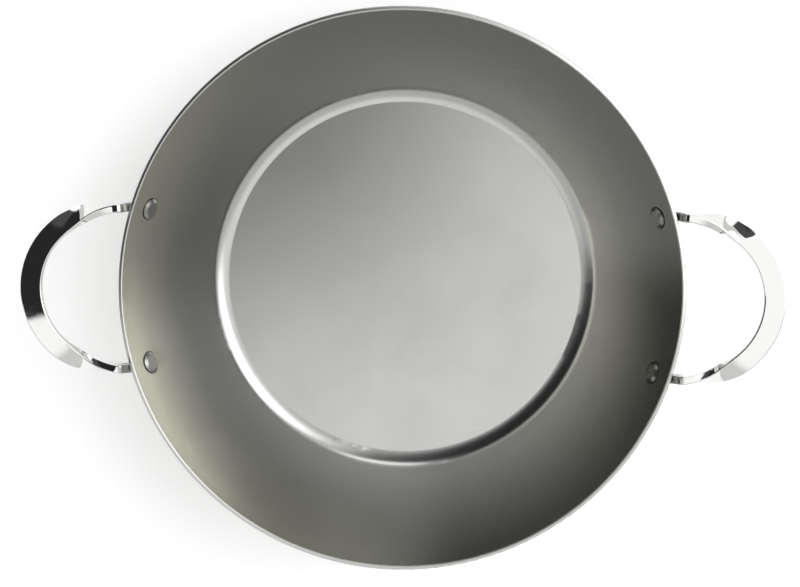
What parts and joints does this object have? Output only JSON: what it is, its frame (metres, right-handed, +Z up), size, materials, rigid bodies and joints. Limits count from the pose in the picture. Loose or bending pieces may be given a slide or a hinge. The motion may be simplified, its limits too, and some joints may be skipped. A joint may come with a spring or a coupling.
{
  "type": "two-handled frying pan",
  "caption": "Round steel frying pan with a flat base, a leaning wall and a looped, riveted side handle on each side.",
  "frame": {"origin": "centre of the underside of the flat base", "axes": "+Z up along the pan's axis, +X through one handle, the handles point along -X and +X"},
  "size_m": [0.4286, 0.3196, 0.0826],
  "materials": {
    "carbon_steel": "satin, as pressed, with a thin clear wax",
    "polished_stainless": "mirror polished",
    "rivet_steel": "satin"
  },
  "bodies": {
    "root": {"pan_body": "carbon_steel", "handle_left": "polished_stainless", "handle_right": "polished_stainless", "rivet_left_upper": "rivet_steel", "rivet_left_lower": "rivet_steel", "rivet_right_upper": "rivet_steel", "rivet_right_lower": "rivet_steel"}
  },
  "joints": []
}
